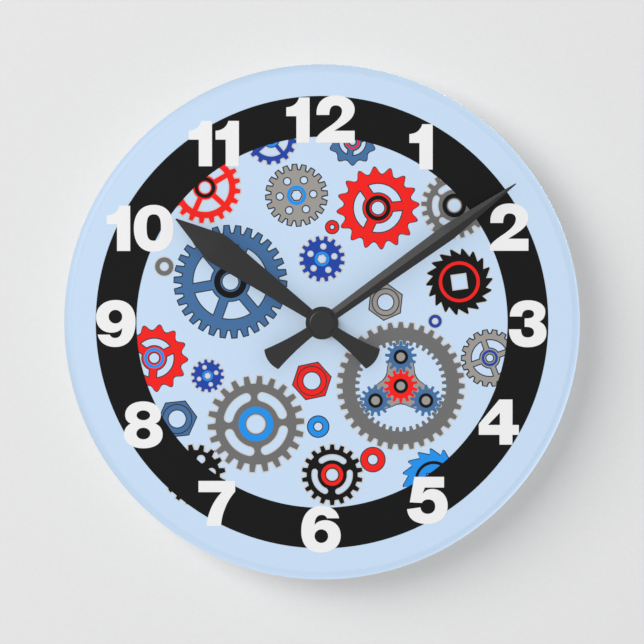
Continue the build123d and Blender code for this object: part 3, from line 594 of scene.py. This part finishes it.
def drilled_gear(at, teeth, tip, count, colour, line, accent, turn=0):
    """Gear with round lightening holes and a six-sided bore."""
    root = tip * 0.82
    middle = tip * 0.55
    hole = tip * 0.14
    bore = tip * 0.36

    def shape(grow):
        return [
            teeth_loop(at, teeth, root, tip, turn, grow),
            *holes(at, count, middle, hole, turn, grow),
            hexagon(at, bore - 2 * grow, turn),
        ]

    outlined(colour, line, shape)
    draw(accent, GEAR_LAYER + 2, [circle(at, tip * 0.32), hexagon(at, bore + LINE, turn)])


def chain_wheel(at, lobes, tip, colour, line, accent, turn=0):
    """Chain wheel with three broad windows."""
    root = tip * 0.82
    rim = tip * 0.62
    hub = tip * 0.36
    bore = tip * 0.18
    spoke = tip * 0.2

    def shape(grow):
        return [
            wave_loop(at, lobes, root, tip, turn, grow),
            *windows(at, 3, hub, rim, spoke, turn, grow),
            circle(at, bore - grow),
        ]

    outlined(colour, line, shape)
    boss(at, accent, tip * 0.31, bore + LINE)


def ratchet(at, teeth, tip, colour, line, accent, turn=0):
    """Ratchet wheel with a ring and a square bore."""
    root = tip * 0.82
    half_bore = tip * 0.24

    def shape(grow):
        corner = (half_bore - grow) * math.sqrt(2)
        bore = arc(at, corner, turn + 45, turn + 315, 3)
        return [saw_loop(at, teeth, root, tip, turn, grow), bore]

    outlined(colour, line, shape)
    boss(at, accent, tip * 0.62, tip * 0.52)


def hex_nut(at, across, colour, line, turn=0):
    """Six-sided nut with its chamfer circle."""
    bore = across * 0.29
    chamfer = across * 0.46

    def shape(grow):
        return [hexagon(at, across + 2 * grow, turn), circle(at, bore - grow)]

    outlined(colour, line, shape)
    boss(at, line, chamfer, chamfer - LINE)


def washer(at, radius, colour, line):
    """Flat ring."""
    bore = radius * 0.5

    def shape(grow):
        return [circle(at, radius + grow), circle(at, bore - grow)]

    outlined(colour, line, shape)


def planet_set(at, module):
    """Ring gear with inward teeth, round a sun gear and three planets on their carrier."""
    outer_teeth, ring_teeth, sun_teeth, planet_teeth = 36, 40, 14, 13
    ring_pitch = module * ring_teeth / 2
    ring_low = ring_pitch - 0.9 * module
    ring_high = ring_pitch + 1.1 * module
    inside = teeth_loop(at, ring_teeth, ring_low, ring_high, 90, 0.0, (0.62, 0.40))
    rim = ring_pitch + 7 * module
    rim_tip = rim + 2.6 * module
    bore = 2 * module

    def ring(grow):
        return [teeth_loop(at, outer_teeth, rim, rim_tip, 0, grow), inside]

    def carrier(grow):
        return [wave_loop(at, 3, 8 * module, 17 * module, 90, grow)]

    def small_gear(centre, teeth, turn, colour):
        pitch = module * teeth / 2
        outline = teeth_loop(centre, teeth, pitch - 1.15 * module, pitch + 0.85 * module, turn)
        draw(colour, GEAR_LAYER + 2, [outline, circle(centre, bore)])
        boss(centre, "black", 3.4 * module, bore, GEAR_LAYER + 3)

    outlined("grey", "pale_line", ring)
    outlined("light_grey", "dark_line", carrier)
    small_gear(at, sun_teeth, 90, "red")
    reach = module * (sun_teeth + planet_teeth) / 2
    sun_step = 360 / sun_teeth
    for angle in (90, 210, 330):
        offset = 90 + round((angle - 90) / sun_step) * sun_step - angle
        turn = angle + 180 - offset * sun_teeth / planet_teeth + 180 / planet_teeth
        small_gear(on_circle(at, reach, angle), planet_teeth, turn, "steel_blue")


planet_set((31, -25), 0.85)
spoked_gear((-36, 16), 30, 22, 6, "steel_blue", "dark_line", "black", turn=10)
slotted_gear((-26, -40), 22, 19, 4, "grey", "pale_line", "azure", turn=20)
chain_wheel((22, 45), 16, 16, "red", "dark_line", "black", turn=5)
ratchet((54, 16), 18, 13, "black", "pale_line", "red", turn=8)
drilled_gear((-10, 50), 20, 12, 6, "light_grey", "dark_line", "azure", turn=4)
spoked_gear((-46, 53), 20, 14, 5, "red", "pale_line", "black", turn=30)
slotted_gear((4, -60), 18, 12, 3, "black", "pale_line", "red", turn=50)
drilled_gear((0, 25), 16, 9, 5, "royal_blue", "pale_line", "azure", turn=12)
chain_wheel((-66, -14), 13, 13, "red", "dark_line", "azure", turn=25)
spoked_gear((66, -14), 18, 11, 4, "light_grey", "dark_line", "royal_blue", turn=20)
slotted_gear((52, 46), 20, 13, 5, "grey", "pale_line", "black", turn=15)
drilled_gear((-45, -21), 14, 6.5, 4, "royal_blue", "pale_line", "azure", turn=20)
hex_nut((-4, -23), 13, "red", "dark_line", turn=12)
ratchet((44, -62), 15, 12, "azure", "dark_line", "black", turn=3)
drilled_gear((-50, -60), 16, 12, 6, "black", "pale_line", "light_grey", turn=9)
chain_wheel((12, 71), 10, 9, "steel_blue", "dark_line", "red", turn=18)
spoked_gear((-20, 72), 16, 10, 4, "royal_blue", "pale_line", "azure", turn=40)
hex_nut((25, 8), 12, "light_grey", "dark_line", turn=24)
hex_nut((-57, -38), 13, "steel_blue", "dark_line", turn=6)
washer((20, -54), 4.6, "red", "dark_line")
washer((-1.5, -41), 4.0, "azure", "dark_line")
washer((-62, 22), 3.6, "grey", "pale_line")
washer((4, 37.5), 2.4, "red", "dark_line")
washer((44.5, 0.5), 2.6, "royal_blue", "pale_line")

# Chapter ring
draw("black", RING_LAYER, [circle((0, 0), RING_OUTER, 240), circle((0, 0), RING_INNER, 240)])


# Numerals: outlines in hundredths of the cap height
# A point is (x, y), or (x, y) with the two control points of the curve that leads to it.
ZERO = (
    ((44.1, 101.8),
     (88.3, 49.9, 72, 101.8, 88.3, 82), (44.1, -2, 88.3, 17, 72, -2),
     (0, 49.9, 16, -2, 0, 17), (44.1, 101.8, 0, 82, 16, 101.8)),
    ((44.1, 80),
     (59.2, 51.7, 55, 80, 59.2, 73), (44.1, 23.4, 59.2, 30, 55, 23.4),
     (29, 51.7, 33, 23.4, 29, 30), (44.1, 80, 29, 73, 33, 80)),
)
ONE = (
    ((52, 0), (52, 100), (28, 100), (0, 78.5, 25, 87, 15, 79), (0, 58), (22, 58), (22, 0)),
)
TWO = (
    ((0, 0), (85, 0), (85, 27.4), (42, 27.4),
     (85, 73, 62, 40, 85, 52), (43, 104.4, 85, 92, 66, 104.4), (0.7, 66, 18, 104.4, 0.7, 90),
     (0.7, 60.7), (29.6, 60.7), (43, 81.5, 29.6, 74, 33, 81.5), (56.3, 70, 51, 81.5, 56.3, 77),
     (31, 38, 56.3, 58, 45, 48), (0, 8, 15, 27, 0, 17)),
)
THREE = (
    ((1.9, 65.3), (42, 101.9, 2, 88, 17, 101.9), (80.4, 77, 65, 101.9, 80.4, 92),
     (68, 54.7, 80.4, 66, 76, 58.5), (83, 30, 78, 50.5, 83, 42), (41, -1.9, 83, 10, 67, -1.9),
     (0, 38.5, 15, -1.9, 0, 12), (27.5, 38.5), (41, 20.7, 27.5, 26, 32, 20.7),
     (54.7, 31, 49.5, 20.7, 54.7, 24.5), (38, 42.6, 54.7, 39, 49, 42.6), (34.3, 42.6),
     (34.3, 62.3), (39, 62.3), (54.7, 71.5, 48.5, 62.3, 54.7, 65),
     (42.5, 80, 54.7, 77, 50, 80), (29.4, 65.3, 34.5, 80, 29.4, 75)),
)
FOUR = (
    ((45, 100), (74.7, 100), (74.7, 44.2), (88.7, 44.2), (88.7, 21.5), (74.7, 21.5),
     (74.7, 0), (45.3, 0), (45.3, 21.5), (0, 21.5), (0, 46)),
    ((46, 69), (46, 44.2), (21.9, 44.2)),
)
FIVE = (
    ((14, 101.6), (80, 101.6), (80, 77), (37.7, 77), (34, 66.5), (53.5, 75, 39, 72, 45, 75),
     (88, 37.5, 74, 75, 88, 59), (43.4, -3, 88, 12, 70, -3),
     (-2, 30.6, 16, -3, -0.5, 9), (28.3, 34.8), (43.4, 20.5, 29.5, 25.5, 35, 20.5),
     (59.5, 36, 53, 20.5, 59.5, 26), (45, 51, 59.5, 46, 54, 51),
     (31.3, 43.3, 38.5, 51, 34, 48), (3.8, 44.6)),
)
SIX = (
    ((84, 73.6), (45.3, 101.8, 81, 91, 66, 101.8), (0, 46, 16, 101.8, 0, 80),
     (44, -2, 0, 14, 17, -2), (87.5, 36, 70, -2, 87.5, 14), (53.5, 70.5, 87.5, 57, 73, 70.5),
     (30.5, 61, 43.5, 70.5, 35, 67), (45.3, 81, 31, 74, 36, 81), (56.6, 73.6, 51, 81, 55, 78)),
    ((44.5, 49.3), (58.8, 35, 52.4, 49.3, 58.8, 42.9), (44.5, 20.7, 58.8, 27.1, 52.4, 20.7),
     (30.2, 35, 36.6, 20.7, 30.2, 27.1), (44.5, 49.3, 30.2, 42.9, 36.6, 49.3)),
)
SEVEN = (
    ((0, 100), (81.5, 100), (81.5, 76), (50.2, 0, 65, 58, 52, 30), (17.4, 0),
     (50.2, 74.3, 20, 30, 32, 55), (0, 74.3)),
)
EIGHT = (
    ((42.6, 101.8), (81.5, 72, 66, 101.8, 81.5, 89), (69.8, 52.7, 81.5, 62, 77, 55.5),
     (85.3, 29, 80, 48, 85.3, 40), (42.6, -2, 85.3, 9, 67, -2), (0, 29, 18, -2, 0, 9),
     (14, 52.7, 0, 40, 5, 48), (2.3, 72, 7, 55.5, 2.3, 62), (42.6, 101.8, 2.3, 89, 18, 101.8)),
    ((42.6, 81), (56.8, 70.8, 50.4, 81, 56.8, 76.4), (42.6, 60.6, 56.8, 65.2, 50.4, 60.6),
     (28.4, 70.8, 34.8, 60.6, 28.4, 65.2), (42.6, 81, 28.4, 76.4, 34.8, 81)),
    ((42.6, 43), (57.3, 30.9, 50.7, 43, 57.3, 37.6), (42.6, 18.8, 57.3, 24.2, 50.7, 18.8),
     (27.9, 30.9, 34.5, 18.8, 27.9, 24.2), (42.6, 43, 27.9, 37.6, 34.5, 43)),
)
# The nine is the six turned half round: its points are these values less the six's x and y.
NINE_TURN = (87.5, 99.8)
DIGITS = {
    "0": ZERO, "1": ONE, "2": TWO, "3": THREE, "4": FOUR,
    "5": FIVE, "6": SIX, "7": SEVEN, "8": EIGHT,
}
PAIR_GAPS = {"10": 6.8, "11": 6.7, "12": 13.3}
CURVE_STEPS = 12

# Middles of the numerals on the dial, in millimetres
NUMERALS = {
    "12": (-0.6, 79.9), "1": (38.9, 69.0), "2": (73.6, 37.5), "3": (80.9, -0.5),
    "4": (69.6, -39.2), "5": (41.5, -70.1), "6": (-0.4, -81.5), "7": (-41.4, -71.3),
    "8": (-70.3, -40.3), "9": (-81.1, -0.4), "10": (-71.4, 37.0), "11": (-42.5, 70.3),
}


def bend(start, knot):
    """Points of a cubic curve from start to a knot with two control points."""
    end, first, second = knot[0:2], knot[2:4], knot[4:6]
    points = []
    for step in range(1, CURVE_STEPS + 1):
        t = step / CURVE_STEPS
        weights = ((1 - t) ** 3, 3 * t * (1 - t) ** 2, 3 * t * t * (1 - t), t ** 3)
        corners = (start, first, second, end)
        points.append(tuple(
            sum(weight * corner[axis] for weight, corner in zip(weights, corners))
            for axis in (0, 1)
        ))
    return points


def digit_loops(digit):
    """Loops of one digit, in hundredths of the cap height."""
    if digit == "9":
        return [
            [(NINE_TURN[0] - x, NINE_TURN[1] - y) for x, y in loop] for loop in digit_loops("6")
        ]
    loops = []
    for outline in DIGITS[digit]:
        loop = [outline[0]]
        for knot in outline[1:]:
            if len(knot) == 2:
                loop.append(knot)
            else:
                loop.extend(bend(loop[-1], knot))
        if math.dist(loop[0], loop[-1]) < 1e-6:
            loop.pop()
        loops.append(loop)
    return loops


def drawn_in(loop, inset):
    """Closed loop moved in by an inset, its corners kept sharp; a negative inset lets it out."""
    points = [Vector(point) for point in loop]
    later = points[1:] + points[:1]
    area = sum(here.x * after.y - after.x * here.y for here, after in zip(points, later))
    moved = []
    for before, here, after in zip(points[-1:] + points[:-1], points, later):
        side_before = (here - before).normalized().orthogonal()
        side_after = (after - here).normalized().orthogonal()
        corner = side_before + side_after
        moved.append(here + corner * math.copysign(2, area) * inset / corner.length_squared)
    return [tuple(point) for point in moved]


def numeral_shapes(text, middle):
    """Loops of each digit of a numeral, centred at a place on the dial."""
    digits = []
    edge = 0.0
    for digit in text:
        placed = digit_loops(digit)
        left = min(x for loop in placed for x, y in loop)
        right = max(x for loop in placed for x, y in loop)
        digits.append([[(x - left + edge, y) for x, y in loop] for loop in placed])
        edge += right - left + PAIR_GAPS.get(text, 0)
    xs = [x for loops in digits for loop in loops for x, y in loop]
    ys = [y for loops in digits for loop in loops for x, y in loop]
    centre = ((min(xs) + max(xs)) / 2, (min(ys) + max(ys)) / 2)
    unit = CAP_HEIGHT / 100

    def place(x, y):
        return (middle[0] + (x - centre[0]) * unit, middle[1] + (y - centre[1]) * unit)

    outlines = []
    for loops in digits:
        outer, *inner = [[place(x, y) for x, y in loop] for loop in loops]
        outlines.append([
            drawn_in(outer, THINNING),
            *[drawn_in(loop, -THINNING) for loop in inner],
        ])
    return outlines


for text, middle in NUMERALS.items():
    for loops in numeral_shapes(text, middle):
        draw("white", NUMERAL_LAYER, loops)


def filled(loops, y, thickness):
    """Mesh of a thin plate between closed loops; its thickness goes towards the viewer."""
    curve = bpy.data.curves.new("print", "CURVE")
    curve.dimensions = "2D"
    curve.fill_mode = "BOTH"
    curve.extrude = thickness / 2
    for loop in loops:
        line = curve.splines.new("POLY")
        line.points.add(len(loop) - 1)
        for point, (x, z) in zip(line.points, loop):
            point.co = (x * MM, z * MM, 0, 1)
        line.use_cyclic_u = True
    drawn = add_piece("print", curve)
    drawn.rotation_euler = (math.pi / 2, 0, 0)
    drawn.location = (0, y - thickness / 2, 0)
    bpy.context.view_layer.update()
    mesh = bpy.data.meshes.new_from_object(drawn)
    mesh.transform(drawn.matrix_world)
    bpy.data.objects.remove(drawn)
    bpy.data.curves.remove(curve)
    return mesh


def print_piece(name, groups, y, thickness, material, body):
    """One piece made of several flat prints of the same ink."""
    build = bmesh.new()
    for loops in groups:
        part = filled(loops, y, thickness)
        build.from_mesh(part)
        bpy.data.meshes.remove(part)
    bmesh.ops.remove_doubles(build, verts=build.verts, dist=1e-7)
    bmesh.ops.recalc_face_normals(build, faces=build.faces)
    mesh = bpy.data.meshes.new(name)
    build.to_mesh(mesh)
    build.free()
    piece = add_piece(name, mesh)
    set_material(piece, material)
    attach(piece, body)


for (colour, layer), groups in shapes.items():
    print_piece(
        f"print_{colour}_{layer}",
        groups,
        FACE_Y,
        layer * LAYER,
        inks[colour],
        "case",
    )


# Rear of the setting knob: two curved arrows, for both ways that it turns
knob_low, knob_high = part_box("setting_knob")
KNOB_PLACE = (
    (knob_low.x + knob_high.x) / 2 / MM,
    (knob_low.z + knob_high.z) / 2 / MM,
)


def curved_arrow(way):
    """Arrow along an arc that starts near the top of the knob; way is 1 or -1."""
    start = 90 + way * ARROW_START
    end = start + way * ARROW_SWEEP
    return [
        *arc(KNOB_PLACE, ARROW_RADIUS + ARROW_WIDTH / 2, start, end, 20),
        on_circle(KNOB_PLACE, ARROW_RADIUS + ARROW_BARB, end),
        on_circle(KNOB_PLACE, ARROW_RADIUS, end + way * ARROW_HEAD),
        on_circle(KNOB_PLACE, ARROW_RADIUS - ARROW_BARB, end),
        *arc(KNOB_PLACE, ARROW_RADIUS - ARROW_WIDTH / 2, end, start, 20),
    ]


print_piece(
    "knob_arrows",
    [[curved_arrow(1)], [curved_arrow(-1)]],
    knob_high.y + ARROW_THICKNESS,
    ARROW_THICKNESS,
    inks["white"],
    "setting",
)


# Battery cell: can with its button, and wrap with a pale line and band
cell_low, cell_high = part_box("battery_cell")
cell_radius = (cell_high.z - cell_low.z) / 2
cell_middle = (cell_low + cell_high) / 2
cell_length = cell_high.x - cell_low.x
shoulder = cell_length - BUTTON_LENGTH
can_radius = cell_radius - CAN_INSET


def cell_place(radius, angle, run):
    """Point on the cell; run is measured from its flat end along +X."""
    return (
        cell_low.x + run,
        cell_middle.y + radius * math.cos(angle),
        cell_middle.z + radius * math.sin(angle),
    )


def make_can():
    """Steel can with a dished flat end and a groove round its button."""
    edge = can_radius - CAN_EDGE
    profile = [
        (0, DISH_DEPTH),
        (DISH_FLOOR, DISH_DEPTH),
        (DISH_RADIUS, 0),
        (edge - CAN_SUPPORT, 0),
        *arc((edge, CAN_EDGE), CAN_EDGE, -90, 0, 4),
        *arc((edge, shoulder - CAN_EDGE), CAN_EDGE, 0, 90, 4),
        (GROOVE_RADIUS, shoulder),
        (GROOVE_FLOOR_OUTER, shoulder - GROOVE_DEPTH),
        (GROOVE_FLOOR_INNER, shoulder - GROOVE_DEPTH),
        (BUTTON_RADIUS, shoulder),
        *arc((BUTTON_RADIUS - BUTTON_EDGE, cell_length - BUTTON_EDGE), BUTTON_EDGE, 0, 90, 4),
        (0, cell_length),
    ]
    can = add_piece("battery_can", lathe("battery_can", profile, cell_place, CELL_STEPS, False))
    set_material(can, finishes["contact_metal"])
    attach(can, "battery")


def make_wrap():
    """Printed wrap round the can, which curls over both ends."""
    end = shoulder + WRAP_PAST_SHOULDER
    band_start = shoulder - BAND_LENGTH
    edge = cell_radius - WRAP_EDGE
    curl = cell_radius - WRAP_CURL
    inside = can_radius + WRAP_GAP
    profile = [
        (curl, WRAP_START),
        (edge - WRAP_SUPPORT, WRAP_START),
        *arc((edge, WRAP_START + WRAP_EDGE), WRAP_EDGE, -90, 0, 5),
        (cell_radius, LINE_START),
        (cell_radius, LINE_END),
        (cell_radius, band_start),
        *arc((edge, end - WRAP_EDGE), WRAP_EDGE, 0, 90, 5),
        (curl, end),
        (curl, end - WRAP_SUPPORT),
        (inside, shoulder - WRAP_LEAN),
        (inside, WRAP_LEAN),
        (curl, WRAP_INNER_START),
    ]
    mesh = lathe("battery_wrap", profile, cell_place, CELL_STEPS, True)
    mesh.materials.append(finishes["cell_wrap"])
    mesh.materials.append(wrap_band)
    for face in mesh.polygons:
        run = face.center.x - cell_low.x
        if run > band_start or LINE_START < run < LINE_END:
            face.material_index = 1
    wrap = add_piece("battery_wrap", mesh)
    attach(wrap, "battery")
    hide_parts("battery_cell")


make_can()
make_wrap()


# Smooth shading of the carried parts
for piece in frame["nodes"].values():
    smooth(piece.data, 25)


# Stage: a pale wall behind the clock, seen only from its front


def make_wall():
    """Wall that shows to the camera and takes the shadow, and lets light through from behind."""
    half = WALL_HALF_WIDTH
    corners = ((-half, -half), (half, -half), (half, half), (-half, half))
    mesh = bpy.data.meshes.new("wall")
    mesh.from_pydata([(x, WALL_GAP, z) for x, z in corners], [], [(0, 1, 2, 3)])
    wall = add_piece("wall", mesh)
    material, tree, surface = new_material("pale_wall")
    tone = shades(tree, noise(tree, 900, 3.0), (0.81, 0.81, 0.81), (0.83, 0.83, 0.83))
    tree.links.new(tone, surface.inputs["Base Color"])
    surface.inputs["Roughness"].default_value = 1.0
    surface.inputs["Specular IOR Level"].default_value = 0.0
    clear = tree.nodes.new("ShaderNodeBsdfTransparent")
    mix = tree.nodes.new("ShaderNodeMixShader")
    side = tree.nodes.new("ShaderNodeNewGeometry")
    tree.links.new(side.outputs["Backfacing"], mix.inputs["Fac"])
    tree.links.new(surface.outputs["BSDF"], mix.inputs[1])
    tree.links.new(clear.outputs["BSDF"], mix.inputs[2])
    tree.links.new(mix.outputs["Shader"], tree.nodes["Material Output"].inputs["Surface"])
    set_material(wall, material)
    wall.visible_diffuse = False
    wall.visible_glossy = False
    wall.visible_transmission = False
    wall.visible_shadow = False


make_wall()


def make_light(name, place, size, power):
    """Soft oblong lamp that points at the clock; its width lies parallel to the wall."""
    data = bpy.data.lights.new(name, "AREA")
    data.shape = "RECTANGLE"
    data.size, data.size_y = size
    data.energy = power
    lamp = bpy.data.objects.new(name, data)
    bpy.context.scene.collection.objects.link(lamp)
    outward = Vector(place).normalized()
    across = outward.cross((0, 1, 0)).normalized()
    basis = Matrix((across, outward.cross(across), outward)).transposed()
    lamp.matrix_world = Matrix.Translation(place) @ basis.to_4x4()
    lamp.visible_camera = False
    return lamp


def pass_by(lamp, nodes):
    """Lets a lamp's light pass the named nodes, which then cast no shadow of it."""
    passed = bpy.data.collections.new(lamp.name + "_passes")
    for node in nodes:
        passed.objects.link(frame["nodes"][node])
    lamp.light_linking.blocker_collection = passed
    for entry in passed.collection_objects:
        entry.light_linking.link_state = "EXCLUDE"


key_light = make_light("key_light", KEY_PLACE, KEY_SIZE, KEY_POWER)
pass_by(key_light, ("hour_hand", "minute_hand", "hand_nut"))

# Two slim lamps just behind the plane of the wall light the rim, and the wall doesn't see them
for name, angle in RIM_LIGHTS.items():
    x, z = on_circle((0, 0), RIM_LIGHT_REACH, angle)
    rim_light = make_light(name, (x, RIM_LIGHT_DEPTH, z), RIM_LIGHT_SIZE, RIM_LIGHT_POWER)
    rim_light.visible_glossy = False

make_light("rear_light", REAR_PLACE, REAR_SIZE, REAR_POWER)


def make_world():
    """Even soft light, with a pale ground where the camera looks past the clock."""
    world = bpy.data.worlds.new("studio")
    bpy.context.scene.world = world
    world.use_nodes = True
    tree = world.node_tree
    light = tree.nodes["Background"]
    light.inputs["Color"].default_value = (1, 1, 1, 1)
    light.inputs["Strength"].default_value = WORLD_LEVEL
    pale = tree.nodes.new("ShaderNodeBackground")
    pale.inputs["Color"].default_value = (1, 1, 1, 1)
    pale.inputs["Strength"].default_value = PALE_LEVEL
    path = tree.nodes.new("ShaderNodeLightPath")
    seen = path.outputs["Is Camera Ray"]
    for name in ("Is Glossy Ray", "Is Transmission Ray"):
        either = tree.nodes.new("ShaderNodeMath")
        either.operation = "MAXIMUM"
        tree.links.new(seen, either.inputs[0])
        tree.links.new(path.outputs[name], either.inputs[1])
        seen = either.outputs["Value"]
    mix = tree.nodes.new("ShaderNodeMixShader")
    tree.links.new(seen, mix.inputs["Fac"])
    tree.links.new(light.outputs["Background"], mix.inputs[1])
    tree.links.new(pale.outputs["Background"], mix.inputs[2])
    tree.links.new(mix.outputs["Shader"], tree.nodes["World Output"].inputs["Surface"])


make_world()


def make_camera():
    """Camera a little above the dial's middle, with the dial as large as in the photograph."""
    data = bpy.data.cameras.new("camera")
    data.lens = LENS
    data.sensor_width = SENSOR
    view_width = 2 * DIAL_RADIUS * PHOTO_WIDTH / DIAL_PIXELS
    distance = view_width * LENS / SENSOR
    camera = bpy.data.objects.new("camera", data)
    bpy.context.scene.collection.objects.link(camera)
    rise = math.radians(CAMERA_RISE)
    camera.location = (
        0,
        FACE_Y - distance * math.cos(rise),
        distance * math.sin(rise) + AIM_HEIGHT,
    )
    camera.rotation_euler = (math.pi / 2 - rise, 0, 0)
    data.clip_end = 10
    bpy.context.scene.camera = camera


make_camera()
bpy.context.scene.view_settings.view_transform = "Standard"
